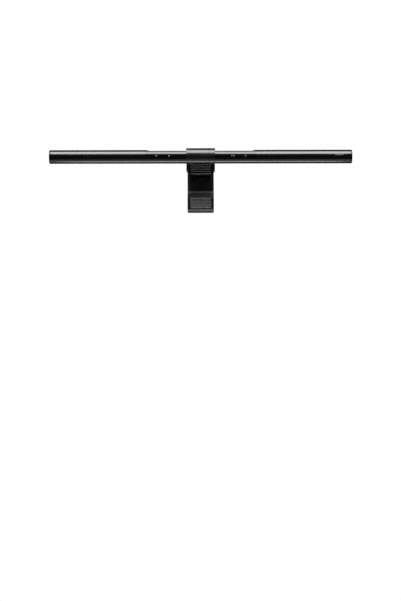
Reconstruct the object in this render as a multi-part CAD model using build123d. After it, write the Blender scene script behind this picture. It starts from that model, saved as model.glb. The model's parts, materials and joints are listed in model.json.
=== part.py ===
from build123d import *
from math import acos, atan2, cos, degrees, hypot, radians, sin
import os

# Monitor light bar with a sprung clip.  Millimetres.
# +X runs along the bar, -Y points to the user, +Z is up.
# The origin is the middle of the seat pad's underside, where the clip stands on the screen's top edge.
# Angles round the lamp axis and round the hinge pin are seen from +X:
# 0 points back (+Y), 90 points up, 180 points to the user and 270 points down.

# ---------------------------------------------------------------- driving dimensions
BAR_LENGTH = 450.0
TUBE_RADIUS = 10.2
TUBE_WALL = 1.2
CAP_THICKNESS = 2.4

SCREEN_THICKNESS = 20.0  # the screen on which the clip is drawn
SCREEN_FRONT = -7.0  # Y of the screen's front bezel
LAMP_Y = SCREEN_FRONT - 14.0
LAMP_Z = 20.4
PIVOT_Y = SCREEN_FRONT + 24.0
PIVOT_Z = 7.4
FIT = 0.05  # radial clearance of each running fit
SEAM = 0.1  # gap between parts that are assembled into each other
MOVING_GAP = 0.3  # gap between faces that move past each other

# lamp section
TUBE_INNER = TUBE_RADIUS - TUBE_WALL
TUBE_HALF = BAR_LENGTH / 2 - CAP_THICKNESS
WINDOW = (265.0, 301.0)  # light window in the tube, just behind its lowest line
CAP_ROUND = 0.8
SPIGOT_INNER = 7.6
SPIGOT_LENGTH = 6.0
SPIGOT_MARGIN = 12.0  # between the spigot and the window, in degrees
RAIL_HALF = TUBE_HALF - SPIGOT_LENGTH - 2.6
COVER_ARC = (50.0, 190.0)
COVER_HALF = 82.5
COVER_INNER = TUBE_RADIUS - 1.4
COVER_RIM_ARC = 4.0  # how far the rim reaches behind the tube wall, in degrees
COVER_RIM_INNER = 7.9
COVER_RIM_OUTER = TUBE_INNER - SEAM
COVER_RIM_END = 2.5  # how far the rim reaches past the cover's ends
COVER_CEILING = 7.0  # underside of the flat
FLAT_HALF = 76.1
FLAT_HEIGHT = 8.27
RAMP_END = 81.7
RAMP_ROUND = 10.0
MARK_HEIGHT = 0.5  # of the touch marks above the lamp axis
TOUCH_MARKS = (-66.0, 47.7, 66.9)
SENSOR_X = -46.9
LENS_RADIUS = 0.8
TOUCH_FLEX = (COVER_INNER - 0.5, COVER_INNER - 0.25)
TOUCH_PAD = (COVER_INNER - 0.7, COVER_INNER - 0.6)
TOUCH_PAD_HALF = 4.5
DIFFUSER_INNER = TUBE_RADIUS - 1.4
DIFFUSER_FOOT_INNER = 7.8
DIFFUSER_FOOT_ARC = (8.0, 4.0)  # outside and inside the window's edge, in degrees

# lamp inside
RAIL_TOP = -3.0
RAIL_THICKNESS = 0.8
RAIL_LEG = (5.6, 6.6)
BOARD_HALF = 72.0
BOARD_DEPTH = (-6.0, 7.0)
BOARD = (-2.65, -1.65)
BOARD_SCREW_X = 66.0
BOARD_SCREW_Y = (-3.5, 4.0)
BOARD_SCREW_HEAD = (1.8, 1.0)  # radius, height
BOARD_SCREW_SHANK = 0.95
LED_COUNT = 72
LED_PITCH = 5.8
LED_SIZE = (3.0, 0.7, 1.4)
LED_BOARD = (4.6, 5.6)
LED_BOARD_BOTTOM = -5.95
LED_CENTRE = -5.1
REFLECTOR_CENTRE = (1.2, -14.0)
REFLECTOR_RADIUS = 10.0
REFLECTOR_ARC = (76.0, 121.0)
SHEET = 0.5
LEAD_X = (69.0, 70.2)
LEAD_Y = 4.2
LEAD_HALF = 0.3
LEAD_ROOM = 0.6

# power inlet (USB-C receptacle)
PORT_FACE = 11.3  # distance of the bezel's face from the lamp axis
PORT_SHELL = (8.94, 3.26, 7.3)
PORT_SHELL_WALL = 0.31
PORT_TONGUE = (6.69, 0.7)
PORT_BOSS = (14.4, 8.0)
PORT_BOSS_ROUND = 2.0
PORT_FLANGE = (19.0, 9.4)

# collar and cheeks
COLLAR_HALF = 21.4
COLLAR_INNER = 10.6
COLLAR_OUTER = 11.92
COLLAR_RISE = 0.88  # the outside is struck from a centre above the lamp axis
COLLAR_ARC = (44.0, 230.0)
COLLAR_EDGE = 0.5
SADDLE_START = 318.0
LINER_INNER = TUBE_RADIUS + FIT
LINER_OUTER = COLLAR_INNER - FIT
LINER_HALF = 20.8
SLOT_HALF = 8.0  # open space between the cheeks, for the plug and the spring
LINER_SLOT_HALF = PORT_BOSS[0] / 2 + MOVING_GAP
TAB_THICKNESS = 1.8
TAB_LENGTH = 14.5
COLLAR_SCREW = (13.5, 11.0, 6.0)  # X, distance behind the tangent point, length
CHEEK_HALF = 18.7
CHEEK_FRONT = SCREEN_FRONT - 1.6
CHEEK_SHOULDER = 10.6
KNUCKLE_RADIUS = 6.6
EAR_INNER = 14.3
BLOCK_BACK = SCREEN_FRONT + 16.2
COVER_FRONT = SCREEN_FRONT - 3.0
SIDE_ROUND = 1.5
PEG_RADIUS = 1.5
PEG_LENGTH = 4.0
SCREW_RADIUS = 1.25
SCREW_LENGTH = 7.0
SCREW_HEAD_RATIO = 1.85  # a countersunk head's radius over its shank's
SOCKET_RATIO = 0.75  # a screw's hexagon socket over its shank

# seat and front lip
SEAT_PAD = 1.1
SEAT_PLATE = 2.0
SEAT_BACK = SCREEN_FRONT + 14.0
SEAT_PAD_HALF = (16.0, 6.0)
SEAT_PAD_ROUND = 1.5
SPRING_TAB = (-7.4, -4.4)  # X of the tab on the seat plate
LIP_PLATE_HALF = 17.5
LIP_PLATE = (CHEEK_FRONT - 2.0, CHEEK_FRONT)
LIP_PLATE_Z = (-3.4, 10.4)
LIP_PLATE_ROUND = 1.0
LIP_PAD_Z = (-4.5, 11.3)
LIP_PAD_SKIN = 1.1
LIP_PAD_ROUND = 0.8
RIB_ROUND = 0.35
RIB_RISE = 0.55
RIB_PITCH = 3.35
RIB_FIRST = LIP_PAD_Z[0] + 0.75  # centre of the lowest rib
RIB_RADII = (0.7, 0.7, 0.95, 0.7, 0.7)  # from the bottom up; the middle rib is the widest
RIB_HALF = 15.4
LIP_BORDER = 16.4  # inner edge of the smooth border on each side of the ribs

# hinge and spring
PIN_RADIUS = 2.0
PIN_HALF = CHEEK_HALF - 0.1
LUG = (8.0, 14.0)
LUG_RADIUS = 6.2
BUSH_OUTER = 3.2
SLEEVE_OUTER = 2.6
SPRING_RADIUS = 3.5
SPRING_WIRE = 0.55
SPRING_TURNS = 8
SPRING_PITCH = 1.45
SPRING_FRONT_LEG = 12.0
SPRING_REAR_LEG = 13.0
SPRING_REAR_ANGLE = 35.0  # of the rear leg from straight down

# rear arm
PAD_FACE = SCREEN_FRONT + SCREEN_THICKNESS
PAD_THICKNESS = 2.0
PAD_Z = (-53.5, -38.5)
PAD_HALF = 16.0
ARM_HALF = 20.0
ARM_WALL = 2.0
ARM_TOP = 2.5
ARM_BOTTOM = -58.8
ARM_FRONT = SCREEN_FRONT + 33.5
ARM_BACK = SCREEN_FRONT + 64.0
ARM_PARTING = SCREEN_FRONT + 47.0
SPINE = (SCREEN_FRONT + 36.0, SCREEN_FRONT + 39.5)
SPINE_HALF = 15.0
WEIGHT_HALF = 17.0
WEIGHT_Z = (-48.0, -6.5)
WEIGHT_SCREW_Z = (-40.0, -18.0)
WEIGHT_SCREW_RADIUS = 2.0
WEIGHT_SCREW_LENGTH = 12.0
SHELL_SCREW = (13.0, -52.6)
SHELL_SCREW_BOSS = 3.0
SHELL_SCREW_HEAD = 6.5  # depth of the head below the back of the housing
SHELL_SCREW_REACH = 7.0  # length of thread in the front shell
ARM_ROUND = 1.5
TONGUE_HALF = 12.0
TONGUE_REACH = 4.0
TONGUE_THICKNESS = 1.6
WEB_NEAR = 6.0  # where the spring's web starts, along the rear leg
WEB_THICKNESS = 2.4

LAMP_AXIS = (LAMP_Y, LAMP_Z)
PIVOT = (PIVOT_Y, PIVOT_Z)
COLLAR_CENTRE = (LAMP_Y, LAMP_Z + COLLAR_RISE)


# ---------------------------------------------------------------- drawing helpers
def polar(radius, angle, centre=(0.0, 0.0)):
    """A point at a distance and an angle from a centre in the (Y, Z) plane."""
    return (centre[0] + radius * cos(radians(angle)), centre[1] + radius * sin(radians(angle)))


def along_x(section, start, end):
    """A section drawn in (Y, Z), extruded from one X to another."""
    return extrude(Plane.YZ.offset(start) * section, amount=end - start)


def along_y(section, start, end):
    """A section drawn in (X, Z), extruded from one Y to another."""
    return extrude(Plane.XZ.offset(-end) * section, amount=end - start)


def block(x, y, z):
    """A box from its (low, high) pairs."""
    centre = Pos((x[0] + x[1]) / 2, (y[0] + y[1]) / 2, (z[0] + z[1]) / 2)
    return centre * Box(x[1] - x[0], y[1] - y[0], z[1] - z[0])


def disc(radius, centre=(0.0, 0.0)):
    return Pos(*centre) * Circle(radius)


def ring_sector(inner, outer, start, end, centre=(0.0, 0.0)):
    """The face between two radii and two angles."""
    outside = CenterArc(centre, outer, start, end - start)
    inside = CenterArc(centre, inner, start, end - start)
    return make_face([outside, inside, Line(outside @ 0, inside @ 0), Line(outside @ 1, inside @ 1)])


def outline(*points):
    return make_face(Polyline(*points, close=True))


def rounded(face, radii):
    """Round the corners of a face: radii maps a corner's (y, z) to its radius."""
    for corner, radius in radii.items():
        vertex = face.vertices().sort_by_distance((*corner, 0))[0]
        face = fillet(vertex, radius)
    return face


def screw_body(radius, length):
    """A countersunk head whose top lies in the XY plane, and a shank that points down."""
    head_radius = SCREW_HEAD_RATIO * radius
    depth = head_radius - radius
    head = Pos(0, 0, -depth / 2) * Cone(radius, head_radius, depth)
    return head + Pos(0, 0, -length / 2) * Cylinder(radius, length)


def screws(frames, radius, length):
    """A countersunk screw with a hexagon socket in each frame."""
    socket = Pos(0, 0, -radius / 2) * extrude(RegularPolygon(SOCKET_RATIO * radius, 6), amount=radius)
    screw = screw_body(radius, length) - socket
    return Compound(children=[frame * screw for frame in frames])


def screw_holes(frames, radius, length):
    """The hole that each of these screws fills, open past its head."""
    mouth = Pos(0, 0, 0.5) * Cylinder(SCREW_HEAD_RATIO * radius, 1.0)
    hole = screw_body(radius, length) + mouth
    return [frame * hole for frame in frames]


def mirrored(shape):
    return mirror(shape, about=Plane.YZ)


def both_sides(shape):
    """The shape and its mirror image, as separate solids."""
    return Compound(children=[shape, mirrored(shape)])


def on_lamp(shape):
    """Move a shape drawn round the lamp axis to where the lamp is."""
    return Pos(0, LAMP_Y, LAMP_Z) * shape


# ---------------------------------------------------------------- lamp casing
def lamp_tube():
    """Extruded tube, open along the light window, with a slot for the touch cover and one for the port."""
    tube = along_x(ring_sector(TUBE_INNER, TUBE_RADIUS, WINDOW[1], WINDOW[0] + 360), -TUBE_HALF, TUBE_HALF)
    margin = degrees(SEAM / TUBE_RADIUS)
    slot_arc = (COVER_ARC[0] - margin, COVER_ARC[1] + margin)
    slot_section = ring_sector(TUBE_INNER - 1, TUBE_RADIUS + 1, *slot_arc)
    slot = along_x(slot_section, -COVER_HALF - SEAM, COVER_HALF + SEAM)
    port = RectangleRounded(PORT_BOSS[0] + 2 * SEAM, PORT_BOSS[1] + 2 * SEAM, PORT_BOSS_ROUND + SEAM)
    return tube - slot - along_y(port, TUBE_INNER - 3, TUBE_RADIUS + 1)


def end_cap():
    """Right-hand cap: a disc with a rounded rim, and an open spigot that clears the diffuser."""
    flange = along_x(Circle(TUBE_RADIUS), TUBE_HALF, BAR_LENGTH / 2)
    flange = fillet(flange.edges().sort_by(Axis.X)[-1], CAP_ROUND)
    arc = (WINDOW[1] + SPIGOT_MARGIN, WINDOW[0] + 360 - SPIGOT_MARGIN)
    spigot_section = ring_sector(SPIGOT_INNER, TUBE_INNER - SEAM, *arc)
    return flange + along_x(spigot_section, TUBE_HALF - SPIGOT_LENGTH, TUBE_HALF + 0.5)


def sensor_rod(radius, inner):
    """A round rod through the front of the cover at the light sensor, flush with the outside."""
    angle = 180 - degrees(MARK_HEIGHT / TUBE_RADIUS)
    direction = polar(1, angle)
    plane = Plane(origin=(SENSOR_X, *polar(inner, angle)), z_dir=(0, *direction))
    rod = extrude(plane * Circle(radius), amount=TUBE_RADIUS + 1 - inner)
    return rod & along_x(Circle(TUBE_RADIUS), SENSOR_X - 2, SENSOR_X + 2)


def touch_cover():
    """Glossy cover in the tube's slot, with a long flat on top that ramps up at both ends."""
    start, end = COVER_ARC
    skin = along_x(ring_sector(COVER_INNER, TUBE_RADIUS, start, end), -COVER_HALF, COVER_HALF)
    rim_arc = ring_sector(COVER_RIM_INNER, COVER_RIM_OUTER, start - COVER_RIM_ARC, end + COVER_RIM_ARC)
    rim = along_x(rim_arc, -COVER_HALF - COVER_RIM_END, COVER_HALF + COVER_RIM_END)
    pocket_arc = (start + COVER_RIM_ARC, end - COVER_RIM_ARC)
    pocket = ring_sector(COVER_RIM_INNER - 1, COVER_INNER, *pocket_arc)
    rim -= along_x(pocket, -COVER_HALF + COVER_RIM_END, COVER_HALF - COVER_RIM_END)
    ceiling_section = Circle(COVER_INNER) & Pos(0, COVER_CEILING + 5) * Rectangle(30, 10)
    ceiling = along_x(ceiling_section, -COVER_HALF, COVER_HALF)
    top = TUBE_RADIUS + 2
    run_out = FLAT_HALF + (top - FLAT_HEIGHT) * (RAMP_END - FLAT_HALF) / (TUBE_RADIUS - FLAT_HEIGHT)
    corners = ((-FLAT_HALF, FLAT_HEIGHT), (FLAT_HALF, FLAT_HEIGHT))
    relief = outline((-run_out, top), *corners, (run_out, top))
    relief = rounded(relief, {corner: RAMP_ROUND for corner in corners})
    cover = skin + rim + ceiling - along_y(relief, -TUBE_RADIUS - 1, TUBE_RADIUS + 1)
    return cover - sensor_rod(LENS_RADIUS, COVER_RIM_INNER - 1)


def sensor_lens():
    return sensor_rod(LENS_RADIUS - 0.02, COVER_INNER - 0.1)


def light_sensor():
    """Sensor chip on the touch circuit, behind the lens."""
    angle = 180 - degrees(MARK_HEIGHT / TUBE_RADIUS)
    chip = Pos(0, TOUCH_FLEX[0] - 0.6, 0) * Box(2.0, 0.7, 2.0)
    return Pos(SENSOR_X, 0, 0) * (Rot(X=angle) * chip)


def touch_flex():
    """Flexible touch circuit on the inner face of the cover, behind the marks."""
    return along_x(ring_sector(*TOUCH_FLEX, 150, 184), -BOARD_HALF - 5, BOARD_HALF + 5)


def touch_pads():
    """One electrode behind each printed touch mark."""
    pad = along_x(ring_sector(*TOUCH_PAD, 160, 182), -TOUCH_PAD_HALF, TOUCH_PAD_HALF)
    return Compound(children=[Pos(x, 0, 0) * pad for x in TOUCH_MARKS])


def diffuser_lens():
    """Frosted window in the tube, with a foot along each edge that catches behind the tube wall."""
    gap = degrees(SEAM / TUBE_RADIUS)
    start, end = WINDOW
    skin_section = ring_sector(DIFFUSER_INNER, TUBE_RADIUS - SEAM, start + gap, end - gap)
    skin = along_x(skin_section, -TUBE_HALF + SEAM, TUBE_HALF - SEAM)
    outside, inside = DIFFUSER_FOOT_ARC
    foot_arcs = ((start - outside, start + inside), (end - inside, end + outside))
    feet = [ring_sector(DIFFUSER_FOOT_INNER, TUBE_INNER - SEAM, *arc) for arc in foot_arcs]
    foot_half = TUBE_HALF - SPIGOT_LENGTH - 0.6
    return skin + [along_x(foot, -foot_half, foot_half) for foot in feet]


# ---------------------------------------------------------------- lamp inside
def board_screw_places():
    return [(x, y) for x in (-BOARD_SCREW_X, BOARD_SCREW_X) for y in BOARD_SCREW_Y]


def inner_rail():
    """Aluminium rail: a shelf that carries the control board and a leg that cools the LED board."""
    shelf = block((-RAIL_HALF, RAIL_HALF), (-7.8, RAIL_LEG[1]), (RAIL_TOP - RAIL_THICKNESS, RAIL_TOP))
    front, back = RAIL_LEG
    leg_section = outline((front, RAIL_TOP), (back, RAIL_TOP), (back, -5.5), (front, -6.4))
    leg = along_x(leg_section, -RAIL_HALF, RAIL_HALF)
    notch_x = (LEAD_X[0] - LEAD_ROOM, LEAD_X[1] + LEAD_ROOM)
    notch_y = (LEAD_Y - LEAD_ROOM, LEAD_Y + LEAD_ROOM)
    lead_notch = block(notch_x, notch_y, (RAIL_TOP - 1, RAIL_TOP + 1))
    holes = [Pos(x, y, RAIL_TOP) * Cylinder(1.0, 4.0) for x, y in board_screw_places()]
    return shelf + leg - lead_notch - holes


def control_board():
    board = block((-BOARD_HALF, BOARD_HALF), BOARD_DEPTH, BOARD)
    holes = [Pos(x, y, BOARD[0]) * Cylinder(1.1, 4.0) for x, y in board_screw_places()]
    holes += [Pos(x, LEAD_Y, BOARD[0]) * Cylinder(0.45, 4.0) for x in LEAD_X]
    return board - holes


def thermal_pad():
    return block((-BOARD_HALF + 12, BOARD_HALF - 12), (-5.0, 5.0), (RAIL_TOP, BOARD[0]))


def board_screws():
    """Four pan-head screws that hold the control board to the rail."""
    radius, height = BOARD_SCREW_HEAD
    length = BOARD[1] - RAIL_TOP + RAIL_THICKNESS
    head = Pos(0, 0, height / 2) * Cylinder(radius, height)
    screw = head + Pos(0, 0, -length / 2) * Cylinder(BOARD_SCREW_SHANK, length)
    return Compound(children=[Pos(x, y, BOARD[1]) * screw for x, y in board_screw_places()])


def control_chips():
    """Controller, LED driver and touch chip."""
    top = BOARD[1]
    sizes = ((18.0, 5.0), (-16.0, 4.0), (52.0, 3.0))
    return Compound(children=[Pos(x, -1.0, top + 0.45) * Box(size, size, 0.9) for x, size in sizes])


def power_inductors():
    coil = fillet(Box(5.4, 5.4, 2.8).edges().filter_by(Axis.Z), 1.2)
    return Compound(children=[Pos(x, -0.5, BOARD[1] + 1.4) * coil for x in (-27.0, -36.0)])


def board_capacitors():
    can = fillet(Cylinder(2.0, 4.2).edges().sort_by(Axis.Z)[-1], 0.4)
    return Compound(children=[Pos(x, -1.0, BOARD[1] + 2.1) * can for x in (29.0, 35.0, 41.0)])


def led_board():
    z = (LED_BOARD_BOTTOM, RAIL_TOP - RAIL_THICKNESS - SEAM)
    return block((-RAIL_HALF + 1, RAIL_HALF - 1), LED_BOARD, z)


def led_row(first):
    """Every second LED, from the first or the second place in the row."""
    start = -(LED_COUNT - 1) / 2 * LED_PITCH
    place = LED_BOARD[0] - LED_SIZE[1] / 2
    leds = [
        Pos(start + index * LED_PITCH, place, LED_CENTRE) * Box(*LED_SIZE)
        for index in range(first, LED_COUNT, 2)
    ]
    return Compound(children=leds)


def light_reflector():
    """Curved white sheet that throws the light of the LEDs down and forward."""
    section = ring_sector(REFLECTOR_RADIUS - SHEET, REFLECTOR_RADIUS, *REFLECTOR_ARC, centre=REFLECTOR_CENTRE)
    return along_x(section, -RAIL_HALF + 1, RAIL_HALF - 1)


def led_leads():
    """Two solid wires from the control board, down through the rail's notch to the LED board."""
    side = (-LEAD_HALF, LEAD_HALF)
    wire = block(side, side, (LED_CENTRE + LED_SIZE[2] / 2 + SEAM, BOARD[1] + 0.5))
    wire = fillet(wire.edges().filter_by(Axis.Z), LEAD_HALF - 0.02)
    return Compound(children=[Pos(x, LEAD_Y, 0) * wire for x in LEAD_X])


# ---------------------------------------------------------------- power inlet
def usb_c_shell():
    """Steel shell of the receptacle, open to the back."""
    width, height, depth = PORT_SHELL
    outer = RectangleRounded(width, height, height / 2 - 0.01)
    wall = PORT_SHELL_WALL
    inner = RectangleRounded(width - 2 * wall, height - 2 * wall, height / 2 - wall - 0.01)
    face = PORT_FACE - SEAM
    return along_y(outer, face - depth, face) - along_y(inner, face - depth + wall, face + 1)


def usb_c_tongue():
    width, height = PORT_TONGUE
    start = PORT_FACE - SEAM - PORT_SHELL[2] + PORT_SHELL_WALL
    return block((-width / 2, width / 2), (start, PORT_FACE - 1.0), (-height / 2, height / 2))


def port_bezel():
    """Boss round the receptacle.  It runs in the collar's slot, which holds the lamp sideways."""
    back_of_board = BOARD_DEPTH[1] + 0.2
    boss = along_y(RectangleRounded(*PORT_BOSS, PORT_BOSS_ROUND), back_of_board, PORT_FACE)
    boss = fillet(boss.edges().group_by(Axis.Y)[-1], 0.4)
    flange = along_y(RectangleRounded(*PORT_FLANGE, PORT_BOSS_ROUND), back_of_board, TUBE_INNER)
    flange &= along_x(Circle(TUBE_INNER - SEAM), -10, 10)
    width, height = PORT_SHELL[0] + 0.2, PORT_SHELL[1] + 0.2
    hole = along_y(RectangleRounded(width, height, height / 2 - 0.01), back_of_board - 1, PORT_FACE + 1)
    return boss + flange - hole


# ---------------------------------------------------------------- clip geometry
def slope_normal():
    """Angle of the normal of the line that leaves the collar's outside and skims the knuckle.

    The collar's tabs lie on this line and the cheeks end one tab's thickness below it.
    """
    step_y = COLLAR_CENTRE[0] - PIVOT_Y
    step_z = COLLAR_CENTRE[1] - PIVOT_Z
    drop = KNUCKLE_RADIUS - COLLAR_OUTER + TAB_THICKNESS
    return degrees(atan2(step_z, step_y)) - degrees(acos(drop / hypot(step_y, step_z)))


SLOPE = slope_normal()


def saddle_top():
    """Where the cheeks' slope meets the end face of the collar."""
    reach = COLLAR_OUTER - TAB_THICKNESS + COLLAR_RISE * sin(radians(SLOPE))
    return polar(reach / cos(radians(COLLAR_ARC[0] - SLOPE)), COLLAR_ARC[0], LAMP_AXIS)


def flank(front, shoulder, knuckle, floor_points):
    """Side outline of the clip: a saddle for the lamp, a slope, and the knuckle round the hinge pin."""
    saddle = CenterArc(LAMP_AXIS, COLLAR_INNER, SADDLE_START, COLLAR_ARC[0] + 360 - SADDLE_START)
    end = CenterArc(PIVOT, knuckle, -90, SLOPE + 90)
    edges = [
        Line((front, shoulder), saddle @ 0),
        saddle,
        Line(saddle @ 1, saddle_top()),
        Line(saddle_top(), end @ 1),
        end,
    ]
    points = [end @ 0, *[Vector(*point) for point in floor_points], Vector(front, shoulder)]
    edges += [Line(a, b) for a, b in zip(points, points[1:])]
    return make_face(edges)


# ---------------------------------------------------------------- clip parts
def slope_place(x, distance):
    """A plane on the collar's tabs, its normal pointing out, at a distance behind the tangent point."""
    along = polar(distance, SLOPE - 90)
    start = polar(COLLAR_OUTER, SLOPE, COLLAR_CENTRE)
    origin = (x, start[0] + along[0], start[1] + along[1])
    return Plane(origin=origin, x_dir=(1, 0, 0), z_dir=(0, *polar(1, SLOPE)))


def collar_screw_frames():
    x, distance, _ = COLLAR_SCREW
    return [slope_place(side * x, distance) for side in (-1, 1)]


def collar_shell():
    """Band over the front and top of the lamp, with two tabs that are screwed to the cheeks."""
    ring = disc(COLLAR_OUTER, COLLAR_CENTRE) - disc(COLLAR_INNER, LAMP_AXIS)
    ring &= ring_sector(COLLAR_INNER - 2, COLLAR_OUTER + 4, *COLLAR_ARC, centre=LAMP_AXIS)
    start = polar(COLLAR_OUTER, SLOPE, COLLAR_CENTRE)
    along = polar(TAB_LENGTH, SLOPE - 90)
    under = polar(-TAB_THICKNESS, SLOPE)
    far = (start[0] + along[0], start[1] + along[1])
    far_under = (far[0] + under[0], far[1] + under[1])
    tab = outline(start, far, far_under, (start[0] + under[0], start[1] + under[1]))
    shell = along_x(ring + tab, -COLLAR_HALF, COLLAR_HALF)
    outside = shell.faces().filter_by(lambda face: on_outside(face.center()))
    edges = [edge for face in outside for edge in face.edges()]
    shell = fillet([edge for edge in edges if abs(edge.center().X) > COLLAR_HALF - 0.01], COLLAR_EDGE)
    plug_room = Plane.XY * RectangleRounded(2 * SLOT_HALF + 0.8, 60.0, 2.0)
    shell -= Pos(0, start[0] + 30.0, LAMP_Z) * extrude(plug_room, amount=30)
    return shell - screw_holes(collar_screw_frames(), SCREW_RADIUS, COLLAR_SCREW[2])


def on_outside(point):
    """True for a point on the collar's outer curve or on the top of its tabs."""
    step_y = point.Y - COLLAR_CENTRE[0]
    step_z = point.Z - COLLAR_CENTRE[1]
    on_curve = abs(hypot(step_y, step_z) - COLLAR_OUTER) < 0.05
    on_tab = abs(step_y * cos(radians(SLOPE)) + step_z * sin(radians(SLOPE)) - COLLAR_OUTER) < 0.05
    return on_curve or on_tab


def collar_liner():
    """Low-friction liner that the lamp turns in, slotted at the back for the port's boss."""
    section = ring_sector(LINER_INNER, LINER_OUTER, SADDLE_START, COLLAR_ARC[1] + 360, centre=LAMP_AXIS)
    liner = along_x(section, -LINER_HALF, LINER_HALF)
    slot_height = 2 * LINER_OUTER * sin(radians(COLLAR_ARC[0]))
    slot = RectangleRounded(2 * LINER_SLOT_HALF, slot_height, 1.5)
    return liner - Pos(0, 0, LAMP_Z) * along_y(slot, LAMP_Y + 5, LAMP_Y + 15)


def seat_screw_frames():
    """Two screws on each side, driven up through the seat plate."""
    places = [(x, SCREEN_FRONT + y) for x in (-13.0, 13.0) for y in (6.0, 11.0)]
    return [Location((x, y, SEAT_PAD), (180, 0, 0)) for x, y in places]


def lip_screw_frames():
    return [Location((x, LIP_PLATE[0], 7.0), (90, 0, 0)) for x in (-11.0, 11.0)]


def pegs(radius, start, end):
    """The two pegs of a side cover, or the holes that take them."""
    places = ((SCREEN_FRONT + 3.0, 14.0), (SCREEN_FRONT + 13.5, 8.0))
    return [along_x(disc(radius, place), start, end) for place in places]


def cheek(side):
    """Load-bearing cheek between the collar, the seat and the hinge pin."""
    floor = SEAT_PAD + SEAT_PLATE
    floor_points = [(SEAT_BACK, floor), (CHEEK_FRONT, floor)]
    section = flank(CHEEK_FRONT, CHEEK_SHOULDER, KNUCKLE_RADIUS, floor_points)
    body = along_x(section, SLOT_HALF, CHEEK_HALF)
    arm_room = block((SLOT_HALF - 1, EAR_INNER), (BLOCK_BACK, ARM_FRONT), (-5, LAMP_Z + 15))
    peg_holes = pegs(PEG_RADIUS + FIT, CHEEK_HALF - PEG_LENGTH - 0.5, CHEEK_HALF + 1)
    pin_hole = along_x(disc(PIN_RADIUS + 0.02, PIVOT), EAR_INNER - 1, CHEEK_HALF + 1)
    body = body - arm_room - peg_holes - pin_hole
    if side < 0:
        body = mirrored(body)
    holes = screw_holes(collar_screw_frames(), SCREW_RADIUS, COLLAR_SCREW[2])
    holes += screw_holes(seat_screw_frames() + lip_screw_frames(), SCREW_RADIUS, SCREW_LENGTH)
    return body - holes


def side_cover():
    """Right-hand cover over the cheek and the end of the hinge pin, held by two pegs."""
    bottom = PIVOT_Z - KNUCKLE_RADIUS
    section = flank(COVER_FRONT, CHEEK_SHOULDER + 0.6, KNUCKLE_RADIUS, [(COVER_FRONT, bottom)])
    section = rounded(section, {(COVER_FRONT, bottom): SIDE_ROUND})
    plate = along_x(section, CHEEK_HALF, COLLAR_HALF)
    return plate + pegs(PEG_RADIUS, CHEEK_HALF - PEG_LENGTH, CHEEK_HALF + 0.5)


def collar_screws():
    return screws(collar_screw_frames(), SCREW_RADIUS, COLLAR_SCREW[2])


def seat_plate():
    """Steel plate under the cheeks, with an upright tab that the spring's front leg pushes on."""
    z = (SEAT_PAD, SEAT_PAD + SEAT_PLATE)
    plate = block((-CHEEK_HALF + 0.2, CHEEK_HALF - 0.2), (CHEEK_FRONT, SEAT_BACK), z)
    tab_top = PIVOT_Z + SPRING_RADIUS - SPRING_WIRE - 0.02
    tab = block(SPRING_TAB, (SEAT_BACK - SEAT_PLATE, SEAT_BACK), (SEAT_PAD, tab_top))
    return plate + tab - screw_holes(seat_screw_frames(), SCREW_RADIUS, SCREW_LENGTH)


def seat_screws():
    return screws(seat_screw_frames(), SCREW_RADIUS, SCREW_LENGTH)


def seat_pad():
    """Rubber pad that stands on the top edge of the screen."""
    half_x, half_y = SEAT_PAD_HALF
    return extrude(RectangleRounded(2 * half_x, 2 * half_y, SEAT_PAD_ROUND), amount=SEAT_PAD)


def front_lip_plate():
    low, high = LIP_PLATE_Z
    face = Pos(0, (low + high) / 2) * RectangleRounded(2 * LIP_PLATE_HALF, high - low, LIP_PLATE_ROUND)
    plate = along_y(face, *LIP_PLATE)
    return plate - screw_holes(lip_screw_frames(), SCREW_RADIUS, SCREW_LENGTH)


def lip_screws():
    return screws(lip_screw_frames(), SCREW_RADIUS, SCREW_LENGTH)


def front_lip_pad():
    """Rubber sleeve over the lip plate: ribs between two borders in front, flat against the bezel behind."""
    low, high = LIP_PAD_Z
    base = LIP_PLATE[0] - LIP_PAD_SKIN
    face = Pos(0, (low + high) / 2) * Rectangle(2 * CHEEK_HALF, high - low)
    face = fillet(face.vertices().group_by(Axis.Y)[0], LIP_PAD_ROUND)
    front = along_y(face, base - RIB_RISE, LIP_PLATE[0])
    front = fillet(front.edges().group_by(Axis.Y)[0], RIB_RISE - 0.1)
    front -= block((-LIP_BORDER, LIP_BORDER), (base - RIB_RISE - 1, base), (low - 1, high + 1))
    back = block((-CHEEK_HALF, CHEEK_HALF), (LIP_PLATE[1], SCREEN_FRONT), (low, 0.0))
    foot = block((-CHEEK_HALF, CHEEK_HALF), LIP_PLATE, (low, LIP_PLATE_Z[0] - 0.02))
    end = block((LIP_PLATE_HALF + SEAM, CHEEK_HALF), LIP_PLATE, (low, LIP_PLATE_Z[1]))
    pad = front + back + foot + end + mirrored(end)
    for index, radius in enumerate(RIB_RADII):
        centre = (base - RIB_RISE + radius, RIB_FIRST + index * RIB_PITCH)
        rib = along_x(disc(radius, centre), -RIB_HALF, RIB_HALF)
        rib = fillet(rib.edges().group_by(Axis.X)[0] + rib.edges().group_by(Axis.X)[-1], RIB_ROUND)
        pad += rib
    pocket_x = (-LIP_PLATE_HALF - SEAM, LIP_PLATE_HALF + SEAM)
    return pad - block(pocket_x, LIP_PLATE, (LIP_PLATE_Z[0] - 0.02, high))


# ---------------------------------------------------------------- hinge
def hinge_pin():
    pin = along_x(disc(PIN_RADIUS, PIVOT), -PIN_HALF, PIN_HALF)
    return chamfer(pin.edges().group_by(Axis.X)[0] + pin.edges().group_by(Axis.X)[-1], 0.4)


def spring_sleeve():
    """Spacer on the pin that centres the spring between the arm's lugs."""
    half = LUG[0] - MOVING_GAP
    return along_x(disc(SLEEVE_OUTER, PIVOT) - disc(PIN_RADIUS + SEAM, PIVOT), -half, half)


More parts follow.
